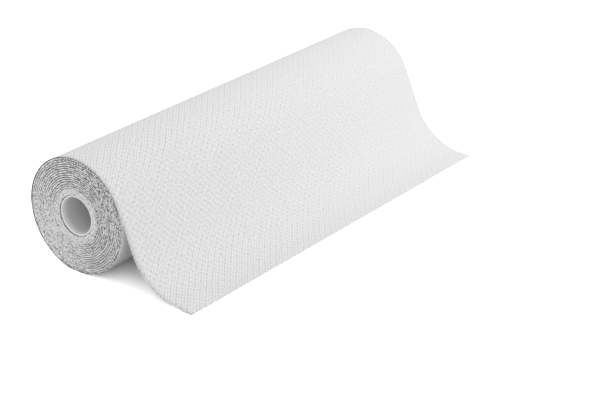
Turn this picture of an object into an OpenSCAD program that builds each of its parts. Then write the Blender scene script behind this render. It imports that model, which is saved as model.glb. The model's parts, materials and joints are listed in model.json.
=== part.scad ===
// Exam table paper roll: a wide paper web wound on a tube, lying on its side,
// with the loose end drawn over the top and down to the surface it lies on.
// The roll's axis is the Y axis and the origin is the middle of the tube's bore.
// The loose sheet runs towards +X and up is +Z.

/* [Roll] */
// Width of the paper web
roll_w = 500; // [300:1:600]
// Outer diameter of the wound roll
roll_d = 125; // [100:1:160]
// Width of the flat spot that the soft roll lies on
flat_w = 14; // [6:0.5:24]

/* [Turns seen on the end faces] */
// Depth of the innermost turns, wound too tight to show gaps
tight_w = 8.5; // [4:0.5:14]
// Radial step from one open turn to the next
turn_step = 2.9; // [1.6:0.1:4]
// Width of the gap between two open turns
turn_gap = 0.8; // [0.4:0.05:1.2]
// Depth of that gap, measured in from the end face
turn_gap_depth = 1.2; // [0.5:0.1:3]

/* [Core tube] */
// Inside diameter of the tube
bore_d = 40; // [30:1:52]
// Wall of the tube
tube_wall = 1.5; // [1:0.1:3]
// Distance from the roll's end face in to the tube's end
tube_inset = 1; // [0.5:0.1:4]

/* [Loose sheet] */
// Thickness of the two-ply sheet
sheet_t = 0.3; // [0.2:0.05:0.6]
// Angle past the top of the roll at which the sheet leaves it
leave_angle = 66.5; // [50:0.5:75]
// Inside radius of the bend where the sheet meets the surface below
bend_r = 70; // [40:1:80]
// Length that lies flat, up to the torn edge
lie_len = 10; // [4:0.5:60]

/* [Torn edge] */
// Spacing of the ties that held the perforation
tie_pitch = 6; // [4:0.5:10]
// Width of a torn tie at its root
tie_w = 2.4; // [1:0.1:3.5]
// Width of a torn tie at its tip
tie_tip_w = 1.2; // [0.6:0.1:2.5]
// Length that a torn tie stands out of the edge
tie_len = 0.8; // [0.3:0.1:2]

/* [Hidden] */
$fn = 96;
turn_fn = 40;
bend_steps = 20;

// How far a cutting shape runs past the faces that it cuts
past = 1;

roll_r = roll_d / 2;
tube_r = bore_d / 2 + tube_wall;
tube_len = roll_w - 2 * tube_inset;

// The surface below, which the flat spot and the loose sheet both lie on
floor_z = -sqrt(pow(roll_r, 2) - pow(flat_w / 2, 2));

// Radii of the gaps between the open turns on the upper half. The outermost turn covers
// the last gap by at least half of a gap's width.
first_gap_r = tube_r + tight_w;
last_gap_r = roll_r - turn_step - turn_gap;
gap_count = floor((last_gap_r - first_gap_r) / turn_step) + 1;

// The loose sheet is the outermost turn. Its upper side starts a little way inside the
// roll's surface, so that the two grow together, and it comes out almost level with it.
leave_r = roll_r - sheet_t / 3;
leave_x = leave_r * sin(leave_angle);
leave_z = leave_r * cos(leave_angle);

// The straight stretch falls as far as the bend leaves for it
bend_z = floor_z + sheet_t + bend_r;
straight_len = (leave_z + bend_r * cos(leave_angle) - bend_z) / sin(leave_angle);
bend_x = leave_x + bend_r * sin(leave_angle) + straight_len * cos(leave_angle);
tear_x = bend_x + lie_len;

// Half of a ring about the roll's axis, in the frame of the turns: the half on the -X side,
// or the half on the +X side when turned
module half_ring(r, from_y, turned) {
    translate([0, from_y, 0])
        rotate([-90, turned ? 270 : 90, 0])
            rotate_extrude(angle = 180)
                translate([r - turn_gap / 2, 0])
                    square([turn_gap, turn_gap_depth + past]);
}

// The spiral gap between the open turns, cut into one end face. Each turn of it is two
// half rings, the second one with its centre and its radius half a step further out.
// The frame is turned so that a new turn starts where the loose sheet leaves the roll.
module turn_gaps(from_y) {
    half_step = turn_step / 2;
    rotate([0, leave_angle, 0])
        for (i = [0 : gap_count - 1]) {
            r = first_gap_r + i * turn_step;
            half_ring(r, from_y, false, $fn = turn_fn);
            translate([0, 0, -half_step])
                half_ring(r + half_step, from_y, true, $fn = turn_fn);
        }
}

// The surface below as a cutting block, which presses the flat spot
module surface_below() {
    translate([-roll_r, -roll_w / 2 - past, floor_z])
        mirror([0, 0, 1])
            cube([roll_d, roll_w + 2 * past, roll_r]);
}

// The roll's turns as one body, with its hole for the tube and its flat spot
module turns() {
    difference() {
        rotate([90, 0, 0])
            cylinder(r = roll_r, h = roll_w, center = true);
        rotate([90, 0, 0])
            cylinder(r = tube_r, h = roll_w + 2 * past, center = true);
        turn_gaps(-roll_w / 2 - past);
        turn_gaps(roll_w / 2 - turn_gap_depth);
        surface_below();
    }
}

// One side of the loose sheet as seen along the roll, from the roll to past the torn edge,
// at a distance below its upper side
function sheet_side(below) = concat(
    [[(leave_r - below) * sin(leave_angle), (leave_r - below) * cos(leave_angle)]],
    [for (i = [0 : bend_steps])
        let (a = leave_angle * (1 - i / bend_steps))
        [bend_x - (bend_r + below) * sin(a), bend_z - (bend_r + below) * cos(a)]],
    [[tear_x + tie_len + past, bend_z - bend_r - below]]);

function backwards(points) = [for (i = [len(points) - 1 : -1 : 0]) points[i]];

// What the tear took away, as seen from above: all that lies between and past the ties
module torn_away() {
    tie_count = floor(roll_w / tie_pitch);
    side_y = roll_w / 2 + past;
    end_x = tear_x + tie_len + 2 * past;
    tie = [[0, -tie_w / 2], [tie_len, -tie_tip_w / 2], [tie_len, tie_tip_w / 2], [0, tie_w / 2]];
    edge = [for (i = [0 : tie_count - 1], p = tie)
        [tear_x + p[0], (i - (tie_count - 1) / 2) * tie_pitch + p[1]]];
    translate([0, 0, floor_z - past])
        linear_extrude(sheet_t + 2 * past)
            polygon(concat([[end_x, -side_y], [tear_x, -side_y]], edge,
                           [[tear_x, side_y], [end_x, side_y]]));
}

module loose_sheet() {
    difference() {
        rotate([90, 0, 0])
            linear_extrude(roll_w, center = true)
                polygon(concat(sheet_side(0), backwards(sheet_side(sheet_t))));
        torn_away();
    }
}

module wound_paper() {
    color("whitesmoke") {
        turns();
        loose_sheet();
    }
}

module core_tube() {
    color("white")
        rotate([90, 0, 0])
            difference() {
                cylinder(r = tube_r, h = tube_len, center = true);
                cylinder(r = bore_d / 2, h = tube_len + 2 * past, center = true);
            }
}

wound_paper();
core_tube();
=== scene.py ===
"""Looks of an exam table paper roll: a wide embossed two-ply web wound on a paperboard tube.

The roll lies on its side. The loose end comes over the top and down to the floor, where it
ends in a torn perforation. Lengths are in metres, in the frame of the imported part: Y is the
roll's axis, X the way the loose sheet leaves, and Z up.
"""

import json
import math

import bmesh
import bpy
from mathutils import Matrix, Vector, noise


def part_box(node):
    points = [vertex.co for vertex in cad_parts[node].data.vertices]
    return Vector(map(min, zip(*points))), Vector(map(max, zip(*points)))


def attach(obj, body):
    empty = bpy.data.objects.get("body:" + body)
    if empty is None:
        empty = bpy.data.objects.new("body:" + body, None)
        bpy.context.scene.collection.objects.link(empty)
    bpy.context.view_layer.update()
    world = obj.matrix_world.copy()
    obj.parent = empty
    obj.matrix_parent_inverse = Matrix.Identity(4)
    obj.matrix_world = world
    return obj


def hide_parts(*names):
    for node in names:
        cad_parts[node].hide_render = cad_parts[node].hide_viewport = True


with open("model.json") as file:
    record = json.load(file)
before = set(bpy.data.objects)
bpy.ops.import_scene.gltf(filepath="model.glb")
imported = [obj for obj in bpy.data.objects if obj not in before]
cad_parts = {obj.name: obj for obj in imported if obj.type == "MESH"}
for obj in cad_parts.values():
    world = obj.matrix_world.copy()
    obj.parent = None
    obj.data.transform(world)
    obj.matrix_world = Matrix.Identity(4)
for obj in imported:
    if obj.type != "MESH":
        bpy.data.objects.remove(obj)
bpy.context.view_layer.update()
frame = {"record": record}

MM = 0.001
TURN = 2 * math.pi

# Sizes taken from the frame
paper_low, paper_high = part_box("wound_paper")
tube_low, tube_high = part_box("core_tube")
mounts = {mount["name"]: mount for mount in frame["record"]["mounts"]}
ROLL_R = -paper_low.x
FLOOR_Z = paper_low.z
NEAR_Y = paper_low.y
FAR_Y = paper_high.y
WEB_W = FAR_Y - NEAR_Y
TUBE_R = tube_high.x
BORE_R = mounts["core_bore"]["dims"]["r_mm"] * MM
TEAR_REACH = paper_high.x

# The share of the roll's radius past which its turns feel the flat spot
SOFT_SHARE = 0.7

# The loose sheet's path, as in the solids
LEAVE = math.radians(66.5)
BEND_R = 70 * MM
SHEET_T = 0.3 * MM
PLY_T = 0.12 * MM

LEAVE_DIR = Vector((math.sin(LEAVE), 0, math.cos(LEAVE)))
FALL_DIR = Vector((math.cos(LEAVE), 0, -math.sin(LEAVE)))
BEND_Z = FLOOR_Z + SHEET_T + BEND_R
STRAIGHT = (ROLL_R * LEAVE_DIR.z + BEND_R * LEAVE_DIR.z - BEND_Z) / LEAVE_DIR.x
BEND_X = (ROLL_R + BEND_R) * LEAVE_DIR.x + STRAIGHT * LEAVE_DIR.z
LEVEL = TEAR_REACH - BEND_X
LOOSE = STRAIGHT + BEND_R * LEAVE + LEVEL

# The loose sheet's waves: their height, their size along and across the web, and the lengths
# over which they rise where it leaves the roll and die out before the tear
WAVE_HEIGHT = 0.5 * MM
WAVE_ALONG = 45 * MM
WAVE_ACROSS = 70 * MM
WAVE_RISE = 50 * MM
WAVE_FALL = 20 * MM

# The near corner of the loose sheet, which bows up a little
CORNER_LIFT = 2.6 * MM
CORNER_LEN = 45 * MM
CORNER_W = 90 * MM

# The lower ply stands out past the upper one at the near edge. This comes on over a length
# from where the sheet leaves the roll, and moves a strip along the edge.
PLY_SHIFT = 1.2 * MM
SHIFT_LEN = 60 * MM
SHIFT_W = 20 * MM

# Perforation: the ties between its cuts tore and stand a little proud, with loose fibres
TIE_PITCH = 6 * MM
TIE_OUT = 0.8 * MM
FIBRE_W = 0.9 * MM

# Mesh cells of a ply, and the cuts in each cell at the torn edge
CELL_LEN = 4 * MM
CELL_W = 6 * MM
TEAR_CUTS = 11

# Emboss: a square net, turned on the web, and how hard the rollers press at the web's edges
EMBOSS_PITCH = 5.9 * MM
EMBOSS_TURN = math.radians(39.2)
EMBOSS_DEPTH = 0.35 * MM
NEAR_PRESS = 1.5
FAR_PRESS = 0.4

# How the net drifts on the web, as the size of its swings and their reach, and the size of the
# patches in which the rollers press more or less
DRIFT_SIZE = 14 * MM
DRIFT_REACH = 2 * MM
CONTACT_PATCH = 3 * MM

# Tufts of fibres, deeper than real ones so that they show, and the folds of the crepe
TUFT_SIZE = 1.6 * MM
TUFT_DEPTH = 0.3 * MM
CREPE_LEN = 0.5 * MM
CREPE_W = 6 * MM
CREPE_DEPTH = 0.06 * MM

# Dark specks and streaks of painted shade between the cut edges of the turns: their size along a
# turn and across it, and how much a streak and a gap of the mesh add to a speck
SPECK = (1.1 * MM, 0.75 * MM)
STREAK = (10 * MM, 0.7 * MM)
SPECK_DEPTH = 0.4 * MM
STREAK_SHARE = 0.3
GAP_SHARE = 0.3
# The radius at which an angle on an end face is turned to a length
ARC_R = 48 * MM

# Fibres pressed into the paperboard
BOARD_FIBRE = 2 * MM
BOARD_DEPTH = 0.04 * MM

# End faces: tight turns round the tube, then coils with open gaps. Each point of a coil's
# profile has its share of the step, its depth, its painted shade, and the edge that it belongs to.
TIGHT_R = 27.5 * MM
TIGHT_STEPS = 8
COIL_STEP = 2.3 * MM
COIL_PROFILE = [(0, 1.3 * MM, 1, 0), (0.2, 0.25 * MM, 0.3, 1), (0.5, 0.1 * MM, 0.1, 1),
                (0.8, 0.3 * MM, 0.3, 2)]
COIL_COLUMNS = 360
# The radius at which the coils end, under the outermost turn, and the painted shade of the dark gap
# there
COIL_END_R = ROLL_R - 2 * SHEET_T
END_SHADE = 0.8
# How far out from the tube the innermost turn comes up level
TUBE_GAP = 0.7 * MM
# The side where the end faces' gaps are painted darkest, as an angle past the top. Opposite
# it, low down, they are painted lighter, which evens out the shade there from the shadowed floor
SHADE_SIDE = math.radians(50)

# Chance on the end faces: the sizes of its runs along the spiral and of its patches, and how
# far they move the paper
SHORT_RUN = 2.2 * MM
SHORT_RUN_DEPTH = 0.3 * MM
LONG_RUN = 50 * MM
PATCH = 9 * MM
PATCH_DEPTH = 0.2 * MM
SWAY_PATCH = 2.6 * MM
SWAY = 0.06 * MM
TIGHT_PATCH = 1.9 * MM
TIGHT_DEPTH = 0.2 * MM

# How far in from its mouths the tube is painted lighter, as painted light reaching into it, and how
# far its rims are cut back
MOUTH_LIGHT_W = 8 * MM
RIM_ROUND = 0.25 * MM
TUBE_STEPS = 128


# Camera, fitted to the photograph's outlines

CAMERA_PLACE = Vector((1.1607, -1.4112, 0.7596))
CAMERA_AZIMUTH = math.radians(37.19)
CAMERA_ELEVATION = math.radians(24.47)
CAMERA_ROLL = math.radians(0.36)
CAMERA_LENS = 108.34


def add_camera():
    data = bpy.data.cameras.new("camera")
    data.lens = CAMERA_LENS
    data.clip_start = 0.05
    data.clip_end = 50
    camera = bpy.data.objects.new("camera", data)
    bpy.context.collection.objects.link(camera)
    level = math.cos(CAMERA_ELEVATION)
    back = Vector((math.sin(CAMERA_AZIMUTH) * level, -math.cos(CAMERA_AZIMUTH) * level,
                   math.sin(CAMERA_ELEVATION)))
    right = Vector((0, 0, 1)).cross(back).normalized()
    up = back.cross(right)
    turned = Matrix((right, up, back)).transposed() @ Matrix.Rotation(CAMERA_ROLL, 3, "Z")
    camera.matrix_world = Matrix.Translation(CAMERA_PLACE) @ turned.to_4x4()
    bpy.context.scene.camera = camera


# Materials

# Sockets of a Mix node for colours, whose names are also those of its sockets for numbers
MIX_A = 6
MIX_B = 7
MIX_RESULT = 2


def linear(hex_colour):
    """An sRGB hex colour as linear RGBA."""
    parts = [int(hex_colour[i:i + 2], 16) / 255 for i in (1, 3, 5)]
    return [p / 12.92 if p <= 0.04045 else ((p + 0.055) / 1.055) ** 2.4 for p in parts] + [1]


def new_material(name):
    """A material with an empty node tree, which is returned with it."""
    material = bpy.data.materials.new(name)
    material.use_nodes = True
    material.node_tree.nodes.clear()
    return material, material.node_tree


def node(tree, kind, values=None, links=None, **settings):
    """Adds a node. values sets its inputs and links joins them to other nodes' outputs, by an
    input's name, or its number where inputs share a name."""
    made = tree.nodes.new(kind)
    for name, value in settings.items():
        setattr(made, name, value)
    for socket, value in (values or {}).items():
        made.inputs[socket].default_value = value
    for socket, source in (links or {}).items():
        tree.links.new(source, made.inputs[socket])
    return made


def tissue_surface(tree, colour, normal):
    """Matt tissue: all diffuse, with hardly any gloss from its short fibres."""
    shader = node(tree, "ShaderNodeBsdfPrincipled",
                  {"Roughness": 0.95, "Specular IOR Level": 0.15},
                  {"Base Color": colour, "Normal": normal})
    node(tree, "ShaderNodeOutputMaterial", links={"Surface": shader.outputs[0]})


def embossed_tissue():
    """Two-ply crepe tissue, embossed between rollers: short pressed dashes in staggered rows, over
    a square net of fainter lines. The rollers press hardest at the near edge. The eye sees
    small pillows on matt white paper."""
    material, tree = new_material("embossed_tissue")
    web = node(tree, "ShaderNodeUVMap", uv_map="web")

    # The net drifts on the web, as soft paper gives under the rollers
    drift = node(tree, "ShaderNodeTexNoise", {"Scale": 1 / DRIFT_SIZE, "Detail": 2},
                 {"Vector": web.outputs[0]}, noise_dimensions="2D")
    drifted = node(tree, "ShaderNodeVectorMath", {1: [DRIFT_REACH] * 3},
                   {0: drift.outputs["Color"], 2: web.outputs[0]}, operation="MULTIPLY_ADD")
    cell = node(tree, "ShaderNodeMapping",
                {"Rotation": (0, 0, -EMBOSS_TURN), "Scale": [1 / EMBOSS_PITCH] * 3},
                {"Vector": drifted.outputs[0]})

    def lines(per_cell, sharpness, shift=0):
        """Pressed lines across the two ways of the net, as X and Y. A higher sharpness makes
        them narrower, and a shift of half of pi puts them halfway between."""
        phase = node(tree, "ShaderNodeVectorMath", {1: [per_cell * math.pi] * 3, 2: [shift] * 3},
                     {0: cell.outputs[0]}, operation="MULTIPLY_ADD")
        wave = node(tree, "ShaderNodeVectorMath", links={0: phase.outputs[0]}, operation="COSINE")
        square = node(tree, "ShaderNodeVectorMath",
                      links={0: wave.outputs[0], 1: wave.outputs[0]}, operation="MULTIPLY")
        narrow = node(tree, "ShaderNodeVectorMath", {1: [sharpness] * 3},
                      {0: square.outputs[0]}, operation="POWER")
        return node(tree, "ShaderNodeSeparateXYZ", links={0: narrow.outputs[0]}).outputs

    def dashes(shift):
        """Short pressed dashes, one to a cell."""
        return node(tree, "ShaderNodeMath",
                    links={0: lines(1, 3, shift)[0], 1: lines(1, 1, shift)[1]},
                    operation="MULTIPLY").outputs[0]

    # The lines and dashes of the motif, each with its share of the depth
    motif = [(0.18, lines(1, 2)[1]), (0.14, lines(1, 4)[0]), (0.26, lines(2, 2)[0]),
             (0.25, dashes(0)), (0.2, dashes(math.pi / 2))]
    share, part = motif[0]
    even = node(tree, "ShaderNodeMath", {1: share}, {0: part}, operation="MULTIPLY")
    for share, part in motif[1:]:
        even = node(tree, "ShaderNodeMath", {1: share}, {0: part, 2: even.outputs[0]},
                    operation="MULTIPLY_ADD")

    # The rollers press patchily, and less and less from the near edge to the far one
    contact = node(tree, "ShaderNodeTexNoise", {"Scale": 1 / CONTACT_PATCH, "Detail": 1},
                   {"Vector": web.outputs[0]}, noise_dimensions="2D")
    patchy = node(tree, "ShaderNodeMapRange",
                  {"From Min": 0.3, "From Max": 0.7, "To Min": 0.5, "To Max": 1.3},
                  {"Value": contact.outputs[0]})
    web_parts = node(tree, "ShaderNodeSeparateXYZ", links={0: web.outputs[0]})
    across = node(tree, "ShaderNodeMapRange",
                  {"From Min": NEAR_Y, "From Max": FAR_Y, "To Min": NEAR_PRESS, "To Max": FAR_PRESS},
                  {"Value": web_parts.outputs[1]})
    pressure = node(tree, "ShaderNodeMath", links={0: patchy.outputs[0], 1: across.outputs[0]},
                    operation="MULTIPLY")
    pressed = node(tree, "ShaderNodeMath", links={0: even.outputs[0], 1: pressure.outputs[0]},
                   operation="MULTIPLY")
    emboss = node(tree, "ShaderNodeBump", {"Strength": 1, "Distance": EMBOSS_DEPTH},
                  {"Height": pressed.outputs[0]}, invert=True)

    # Tufts of fibres, and the finer crepe, whose folds run across the web
    tufts = node(tree, "ShaderNodeTexNoise", {"Scale": 1 / TUFT_SIZE, "Detail": 1},
                 {"Vector": web.outputs[0]}, noise_dimensions="2D")
    tuft_bump = node(tree, "ShaderNodeBump", {"Strength": 1, "Distance": TUFT_DEPTH},
                     {"Height": tufts.outputs[0], "Normal": emboss.outputs[0]})
    crepe_place = node(tree, "ShaderNodeMapping", {"Scale": (1 / CREPE_LEN, 1 / CREPE_W, 1)},
                       {"Vector": web.outputs[0]})
    crepe = node(tree, "ShaderNodeTexNoise", {"Scale": 1, "Detail": 3},
                 {"Vector": crepe_place.outputs[0]}, noise_dimensions="2D")
    crepe_bump = node(tree, "ShaderNodeBump", {"Strength": 1, "Distance": CREPE_DEPTH},
                      {"Height": crepe.outputs[0], "Normal": tuft_bump.outputs[0]})

    # Pressed places are painted a little greyer, as painted shade in the pressed hollows, and tufts
    # are a little greyer in tone
    mottle = node(tree, "ShaderNodeMapRange", {"From Min": 0.3, "From Max": 0.7, "To Max": 0.45},
                  {"Value": tufts.outputs[0]})
    pressed_shade_and_tufts = node(tree, "ShaderNodeMath", links={0: mottle.outputs[0], 1: pressed.outputs[0]})
    # Light grey for the paper, darker grey for the painted shade of pressed places and the tufts'
    # own grey
    colour = node(tree, "ShaderNodeMix", {MIX_A: linear("#F4F4F4"), MIX_B: linear("#D7D7D7")},
                  {"Factor": pressed_shade_and_tufts.outputs[0]}, data_type="RGBA")
    tissue_surface(tree, colour.outputs[MIX_RESULT], crepe_bump.outputs[0])
    return material


def wound_edges():
    """The cut edges of hundreds of wound turns. They are as white as the web, but the emboss
    holds them apart, and the shade between them is painted as dark specks and streaks, most of
    all in the gaps of the mesh. Turns of 0.3 mm are too fine to show, so a streak stands for two
    turns or more."""
    material, tree = new_material("cut_tissue_edges")
    place = node(tree, "ShaderNodeTexCoord")
    flat = node(tree, "ShaderNodeVectorMath", {1: (1, 0, 1)}, {0: place.outputs["Object"]},
                operation="MULTIPLY")
    radius = node(tree, "ShaderNodeVectorMath", links={0: flat.outputs[0]}, operation="LENGTH")
    parts = node(tree, "ShaderNodeSeparateXYZ", links={0: place.outputs["Object"]})
    angle = node(tree, "ShaderNodeMath", links={0: parts.outputs[0], 1: parts.outputs[2]},
                 operation="ARCTAN2")
    arc = node(tree, "ShaderNodeMath", {1: ARC_R}, {0: angle.outputs[0]}, operation="MULTIPLY")
    wound = node(tree, "ShaderNodeCombineXYZ",
                 links={0: arc.outputs[0], 1: radius.outputs["Value"], 2: parts.outputs[1]})

    def grain(along, across):
        """Noise drawn out along the turns, with its two sizes in metres."""
        scaled = node(tree, "ShaderNodeMapping", {"Scale": (1 / along, 1 / across, 1 / across)},
                      {"Vector": wound.outputs[0]})
        return node(tree, "ShaderNodeTexNoise", {"Scale": 1, "Detail": 1},
                    {"Vector": scaled.outputs[0]})

    specks = grain(*SPECK)
    streaks = grain(*STREAK)
    bump = node(tree, "ShaderNodeBump", {"Strength": 1, "Distance": SPECK_DEPTH},
                {"Height": specks.outputs[0]}, invert=True)

    # Painted shade: a place is painted dark where specks, streaks and gaps add up, as the shade
    # between the turns
    # The gap attribute holds the painted shade of the mesh's gaps
    gap = node(tree, "ShaderNodeAttribute", attribute_name="gap")
    lined = node(tree, "ShaderNodeMath", {1: STREAK_SHARE},
                 {0: streaks.outputs[0], 2: specks.outputs[0]}, operation="MULTIPLY_ADD")
    painted_shade_sum = node(tree, "ShaderNodeMath", {1: GAP_SHARE},
                      {0: gap.outputs["Fac"], 2: lined.outputs[0]}, operation="MULTIPLY_ADD")
    shade = node(tree, "ShaderNodeMapRange", {"From Min": 0.7, "From Max": 0.87},
                 {"Value": painted_shade_sum.outputs[0]})
    # White for the cut edges, near black for the painted shade between them
    colour = node(tree, "ShaderNodeMix", {MIX_A: linear("#FCFCFC"), MIX_B: linear("#101010")},
                  {"Factor": shade.outputs[0]}, data_type="RGBA")
    tissue_surface(tree, colour.outputs[MIX_RESULT], bump.outputs[0])
    return material


def board(name, hex_colour, mouth_light_colour):
    """Paperboard, wound in a helix and glued under pressure: smooth and matt with a fine
    mottle of pressed fibres, and painted lighter towards the mouths of the tube, as painted light
    that reaches in from its ends."""
    material, tree = new_material(name)
    place = node(tree, "ShaderNodeTexCoord")
    fibres = node(tree, "ShaderNodeTexNoise", {"Scale": 1 / BOARD_FIBRE, "Detail": 5},
                  {"Vector": place.outputs["Object"]})
    bump = node(tree, "ShaderNodeBump", {"Strength": 1, "Distance": BOARD_DEPTH},
                {"Height": fibres.outputs[0]})
    parts = node(tree, "ShaderNodeSeparateXYZ", links={0: place.outputs["Object"]})
    end_distance = node(tree, "ShaderNodeMath", links={0: parts.outputs[1]}, operation="ABSOLUTE")
    # Painted light: lighter towards the mouths, darker deeper in the tube
    mouth_light = node(tree, "ShaderNodeMapRange",
                {"From Min": tube_high.y - MOUTH_LIGHT_W, "From Max": tube_high.y, "To Max": 0.9},
                {"Value": end_distance.outputs[0]})
    full = linear(hex_colour)
    mottled = node(tree, "ShaderNodeMix", {MIX_A: [c * 0.95 for c in full], MIX_B: full},
                   {"Factor": fibres.outputs[0]}, data_type="RGBA")
    colour = node(tree, "ShaderNodeMix", {MIX_B: linear(mouth_light_colour)},
                  {"Factor": mouth_light.outputs[0], MIX_A: mottled.outputs[MIX_RESULT]},
                  data_type="RGBA")
    shader = node(tree, "ShaderNodeBsdfPrincipled", {"Roughness": 0.6, "Specular IOR Level": 0.4},
                  {"Base Color": colour.outputs[MIX_RESULT], "Normal": bump.outputs[0]})
    node(tree, "ShaderNodeOutputMaterial", links={"Surface": shader.outputs[0]})
    return material


# Making meshes

def grid(columns, rows):
    """A flat grid with a corner at the origin, one unit to a cell."""
    bm = bmesh.new()
    bmesh.ops.create_grid(bm, x_segments=columns, y_segments=rows, size=0.5)
    bmesh.ops.translate(bm, verts=bm.verts, vec=(0.5, 0.5, 0))
    bmesh.ops.scale(bm, verts=bm.verts, vec=(columns, rows, 1))
    return bm


def new_piece(name, bm, materials):
    """Turns a bmesh into a smooth object of the roll with its materials."""
    mesh = bpy.data.meshes.new(name)
    bm.to_mesh(mesh)
    bm.free()
    for polygon in mesh.polygons:
        polygon.use_smooth = True
    for material in materials:
        mesh.materials.append(material)
    piece = bpy.data.objects.new(name, mesh)
    bpy.context.collection.objects.link(piece)
    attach(piece, "root")
    return piece


def clamp(value, low=0.0, high=1.0):
    return max(low, min(high, value))


def ease(value):
    """0 up to 0 and 1 from 1 on, with a smooth rise between."""
    value = clamp(value)
    return value * value * (3 - 2 * value)


def pressed_flat(place, radius):
    """A point of the roll, moved up where the soft roll is pressed flat on the floor."""
    felt = ease((radius / ROLL_R - SOFT_SHARE) / (1 - SOFT_SHARE))
    place.z = max(place.z, (ROLL_R + FLOOR_Z) * felt - radius)
    return place


# The outermost turn and the loose sheet, in two plies. Odd numbers in the places of noise, here
# and below, keep one draw of chance apart from another.

def web_place(along, depth):
    """A point of the web's cross-section. along is measured from where the sheet leaves the
    roll, negative on the roll, and depth goes in from the sheet's upper side."""
    if along < 0:
        wound = -along / (TURN * ROLL_R)
        radius = ROLL_R - SHEET_T * wound - depth
        angle = LEAVE - TURN * wound
        return pressed_flat(Vector((radius * math.sin(angle), 0, radius * math.cos(angle))), radius)
    if along < STRAIGHT:
        return LEAVE_DIR * (ROLL_R - depth) + FALL_DIR * along
    bent = (along - STRAIGHT) / BEND_R
    if bent < LEAVE:
        slope = LEAVE - bent
        reach = BEND_R + depth
        return Vector((BEND_X - reach * math.sin(slope), 0, BEND_Z - reach * math.cos(slope)))
    level = along - STRAIGHT - BEND_R * LEAVE
    return Vector((BEND_X + level, 0, FLOOR_Z + SHEET_T - depth))


def torn_edge(y, seed):
    """How far a torn edge stands out: a tie at each step of the perforation, and loose fibres.
    A tie is whole in the middle of its step and gone by the ends of it."""
    step = (y - NEAR_Y) / TIE_PITCH
    tie_size = 0.7 + 0.5 * noise.noise(Vector((math.floor(step) * 3.7, seed, 0)))
    tie = ease(1.6 - 4 * abs(step % 1 - 0.5)) * tie_size
    fibres = 0.25 * noise.noise(Vector((y / FIBRE_W, seed, 5)))
    return TIE_OUT * (tie + fibres)


def waviness(along, y):
    """How far the loose paper lies off its even curve."""
    free = ease(along / WAVE_RISE) * ease((LOOSE - along) / WAVE_FALL)
    return WAVE_HEIGHT * free * noise.noise(Vector((along / WAVE_ALONG, y / WAVE_ACROSS, 2)))


def corner_lift(along, y):
    """How far the near corner of the loose paper bows up off the floor, just before the tear."""
    bow = math.sin(math.pi * clamp((LOOSE - along) / CORNER_LEN)) ** 2
    return CORNER_LIFT * bow * ease(1 - (y - NEAR_Y) / CORNER_W)


def ply(name, depth, near_shift, seed, material):
    """One ply of the outermost turn and the loose sheet. depth is how far it lies in from the
    sheet's upper side, near_shift how far it stands out at the near edge, and seed sets its
    torn edge apart."""
    wound = TURN * ROLL_R
    length = wound + LOOSE
    columns = round(length / CELL_LEN)
    rows = round(WEB_W / CELL_W)
    bm = grid(columns, rows)
    last = [e for e in bm.edges if all(v.co.x > columns - 0.5 for v in e.verts)]
    bmesh.ops.subdivide_edges(bm, edges=last, cuts=TEAR_CUTS)

    # The flat web, which the material's pattern lies on
    uv_layer = bm.loops.layers.uv.new("web")
    for v in bm.verts:
        along = v.co.x / columns * length - wound
        y = NEAR_Y + v.co.y / rows * WEB_W
        if v.co.x > columns - 0.5:
            along += torn_edge(y, seed) - TIE_OUT
        v.co = (along, y, 0)
    for face in bm.faces:
        for loop in face.loops:
            loop[uv_layer].uv = loop.vert.co.xy

    # The web in its place, where its bend can't sink into the floor
    for v in bm.verts:
        along, y = v.co.x, v.co.y
        place = web_place(along, depth)
        place.z += max(0, waviness(along, y)) if along > STRAIGHT else waviness(along, y)
        place.z += corner_lift(along, y)
        near = ease(1 - (y - NEAR_Y) / SHIFT_W) * ease(along / SHIFT_LEN)
        place.y = y - near_shift * near
        v.co = place
    piece = new_piece(name, bm, [material])
    thicken = piece.modifiers.new("thickness", "SOLIDIFY")
    thicken.thickness = PLY_T
    thicken.offset = -1
    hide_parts("wound_paper")


# The wound turns

def end_stations():
    """Stations of an end face from the tube outwards: (radius, depth, shade, coil, edge). The
    tight turns by the tube belong to no coil. The radii of a coil are those where it starts."""
    level_r = TUBE_R + TUBE_GAP
    # The crevice at the tube is painted fully dark, as painted shade
    stations = [(TUBE_R, 2 * MM, 1, None, 0), (TUBE_R + 0.1 * MM, 1 * MM, 1, None, 0),
                (level_r, 0.2 * MM, 0.3, None, 0)]
    for i in range(1, TIGHT_STEPS):
        radius = level_r + (TIGHT_R - level_r) * i / TIGHT_STEPS
        stations.append((radius, 0.12 * MM, 0.15, None, i))
    coils = math.ceil((ROLL_R - TIGHT_R) / COIL_STEP) + 1
    for coil in range(coils):
        for share, depth, shade, edge in COIL_PROFILE:
            stations.append((TIGHT_R + (coil + share) * COIL_STEP, depth, shade, coil, edge))
    return stations


def outward(angle):
    """The direction out of the roll's axis, at an angle past the top."""
    return Vector((math.sin(angle), 0, math.cos(angle)))


def face_chance(radius, angle, far_end, size):
    """Noise over an end face, in patches of a size."""
    return noise.noise((outward(angle) * radius + Vector((0, 7 * far_end, 0))) / size)


def run_chance(along, draw, far_end, size):
    """Noise along the spiral, in runs of a size."""
    return noise.noise(Vector((along / size, draw, 40 * far_end)))


def tight_point(station, angle, far_end):
    """Radius, depth and shade of a point of the tight turns, which chance moves only a little."""
    radius, depth, shade = station[:3]
    run = face_chance(radius, angle, far_end, TIGHT_PATCH)
    loose = 0.3 * clamp((radius - TUBE_R) / (2 * MM))
    return radius, depth + TIGHT_DEPTH * run * loose, clamp(shade + run * loose)


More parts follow.
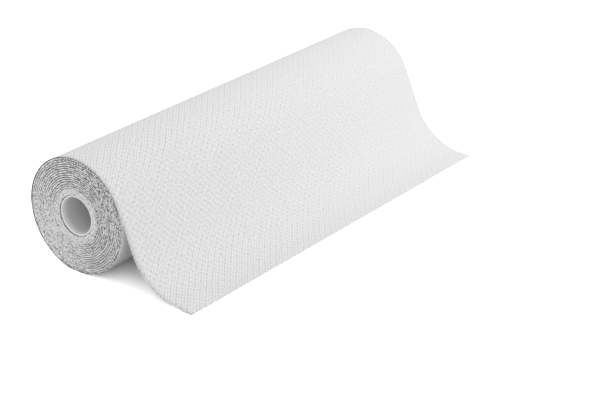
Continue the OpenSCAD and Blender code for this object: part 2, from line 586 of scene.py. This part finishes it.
def coil_point(station, wound, angle, far_end):
    """Radius, depth and shade of a point of a coil, which is wound by a share of a turn from
    where the coil starts."""
    radius, depth, shade, coil, edge = station
    radius -= COIL_STEP * wound
    wraps = coil - wound
    along = TURN * (TIGHT_R * wraps + COIL_STEP * wraps * wraps / 2)
    run = run_chance(along, 7.3 * edge, far_end, SHORT_RUN)
    long_run = run_chance(along, 5.9 * edge, far_end, LONG_RUN)
    patch = face_chance(radius, angle, far_end, PATCH)
    sway = face_chance(radius, angle, far_end, SWAY_PATCH)

    # The coils go under the outermost turn and loosen outwards. Their painted shade is darker
    # towards SHADE_SIDE and lighter opposite it, and darkest in the first coils on that side
    inside = clamp((COIL_END_R - radius) / (0.5 * COIL_STEP))
    loose = 0.3 + 0.7 * ease((radius - TIGHT_R) / (3 * MM))
    side = math.cos(angle - SHADE_SIDE)
    first = ease(1 - (radius - TIGHT_R) / (4 * MM))
    side_shade = 0.95 + 0.45 * side + 0.6 * first * max(0, side)

    depth = depth * (1 + long_run) + SHORT_RUN_DEPTH * run + PATCH_DEPTH * patch
    depth = max(0, depth) * loose * inside
    shade = clamp(shade * side_shade * (1 + 0.5 * long_run) + 0.4 * run) * loose
    # Under the outermost turn the gap takes its painted shade
    shade += (END_SHADE - shade) * (1 - inside)
    return clamp(radius + loose * inside * SWAY * sway, TIGHT_R, COIL_END_R), depth, shade


def wound_turns(material):
    """All the turns under the outermost one as one body, its end faces cut by a spiral gap.
    Each edge of a coil stands out or lies back by chance, in short runs along the spiral, and
    each point keeps its painted shade in the gap attribute."""
    stations = end_stations()
    count = len(stations)
    bm = grid(COIL_COLUMNS, 2 * count)
    gap_shade_layer = bm.verts.layers.float.new("gap")
    for v in bm.verts:
        wound = v.co.x / COIL_COLUMNS
        angle = LEAVE - TURN * wound
        row = round(v.co.y) % (2 * count)
        far_end = row >= count
        station = stations[2 * count - 1 - row if far_end else row]
        coil = station[3]
        if coil is None:
            radius, depth, shade = tight_point(station, angle, far_end)
        else:
            radius, depth, shade = coil_point(station, wound, angle, far_end)
        v[gap_shade_layer] = shade
        place = pressed_flat(outward(angle) * radius, radius)
        place.y = FAR_Y - depth if far_end else NEAR_Y + depth
        v.co = place
    bmesh.ops.remove_doubles(bm, verts=bm.verts, dist=1e-6)
    bmesh.ops.dissolve_degenerate(bm, edges=bm.edges, dist=1e-7)
    bmesh.ops.recalc_face_normals(bm, faces=bm.faces)
    return new_piece("wound_turns", bm, [material])


# The core

def tube(rim_board, lining_board):
    """The core tube: a white outer ply, seen at the rims, over a grey lining."""
    low, high = tube_low.y, tube_high.y
    inner, outer = BORE_R + RIM_ROUND, TUBE_R - RIM_ROUND
    outline = [(BORE_R, low + RIM_ROUND), (inner, low), (outer, low), (TUBE_R, low + RIM_ROUND),
               (TUBE_R, high - RIM_ROUND), (outer, high), (inner, high), (BORE_R, high - RIM_ROUND)]
    bm = bmesh.new()
    verts = [bm.verts.new((radius, y, 0)) for radius, y in outline]
    edges = [bm.edges.new((verts[i - 1], verts[i])) for i in range(len(verts))]
    bmesh.ops.spin(bm, geom=verts + edges, cent=(0, 0, 0), axis=(0, 1, 0), angle=TURN,
                   steps=TUBE_STEPS, use_merge=True)
    bmesh.ops.recalc_face_normals(bm, faces=bm.faces)
    for face in bm.faces:
        if all(math.hypot(v.co.x, v.co.z) < BORE_R + 0.1 * RIM_ROUND for v in face.verts):
            face.material_index = 1
    return new_piece("core_tube_board", bm, [rim_board, lining_board])


# Floor and light

# The floor's colour to the object, and to rays that show it, which makes white round the shadow
FLOOR_GREY = (0.8, 0.8, 0.8, 1)
FLOOR_SEEN = (2.15, 2.15, 2.15, 1)
FLOOR_SIZE = 6

# The surround's strength on the object, and the lamp's power, width and place
SURROUND = 0.9
LAMP_POWER = 3.8
LAMP_W = 1.2
LAMP_PLACE = Vector((1.1, 0.85, 0.65))


def seen_share(tree):
    """1 for rays that show a thing: the camera's own, reflections, and rays sent through."""
    ray = node(tree, "ShaderNodeLightPath")
    straight = node(tree, "ShaderNodeMath",
                    links={0: ray.outputs["Is Camera Ray"], 1: ray.outputs["Is Glossy Ray"]},
                    operation="MAXIMUM")
    return node(tree, "ShaderNodeMath",
                links={0: straight.outputs[0], 1: ray.outputs["Is Transmission Ray"]},
                operation="MAXIMUM").outputs[0]


def white_floor():
    """A plain floor that takes the roll's shadow and shows white round it."""
    material, tree = new_material("white_floor")
    colour = node(tree, "ShaderNodeMix", {MIX_A: FLOOR_GREY, MIX_B: FLOOR_SEEN},
                  {"Factor": seen_share(tree)}, data_type="RGBA")
    shader = node(tree, "ShaderNodeBsdfDiffuse", links={"Color": colour.outputs[MIX_RESULT]})
    node(tree, "ShaderNodeOutputMaterial", links={"Surface": shader.outputs[0]})
    bm = bmesh.new()
    bmesh.ops.create_grid(bm, x_segments=1, y_segments=1, size=FLOOR_SIZE)
    bmesh.ops.translate(bm, verts=bm.verts, vec=(0, 0, FLOOR_Z))
    mesh = bpy.data.meshes.new("floor")
    bm.to_mesh(mesh)
    bm.free()
    mesh.materials.append(material)
    floor = bpy.data.objects.new("floor", mesh)
    bpy.context.collection.objects.link(floor)


def light():
    """An even white surround, as in a light tent, and a broad soft lamp low on the loose side."""
    world = bpy.data.worlds.new("surround")
    bpy.context.scene.world = world
    world.use_nodes = True
    tree = world.node_tree
    tree.nodes.clear()
    strength = node(tree, "ShaderNodeMix", {"A": SURROUND, "B": 1}, {"Factor": seen_share(tree)},
                    data_type="FLOAT")
    background = node(tree, "ShaderNodeBackground", {"Color": (1, 1, 1, 1)},
                      {"Strength": strength.outputs[0]})
    node(tree, "ShaderNodeOutputWorld", links={"Surface": background.outputs[0]})
    data = bpy.data.lights.new("side_lamp", "AREA")
    data.shape = "DISK"
    data.size = LAMP_W
    data.energy = LAMP_POWER
    lamp = bpy.data.objects.new("side_lamp", data)
    bpy.context.collection.objects.link(lamp)
    lamp.location = LAMP_PLACE
    lamp.rotation_euler = LAMP_PLACE.to_track_quat("Z", "Y").to_euler()


add_camera()
tissue = embossed_tissue()
turns = wound_turns(wound_edges())
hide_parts("wound_paper")
ply("upper_ply", 0, 0, 1, tissue)
ply("lower_ply", SHEET_T - PLY_T, PLY_SHIFT, 2, tissue)
# Each board's second colour is its painted light at the mouths of the tube
core = tube(board("white_lined_board", "#F0F0F0", "#FCFCFC"),
            board("grey_board", "#C6C6C6", "#F4F4F4"))
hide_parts("core_tube")
white_floor()
light()
bpy.context.scene.view_settings.view_transform = "Standard"

bpy.context.view_layer.update()
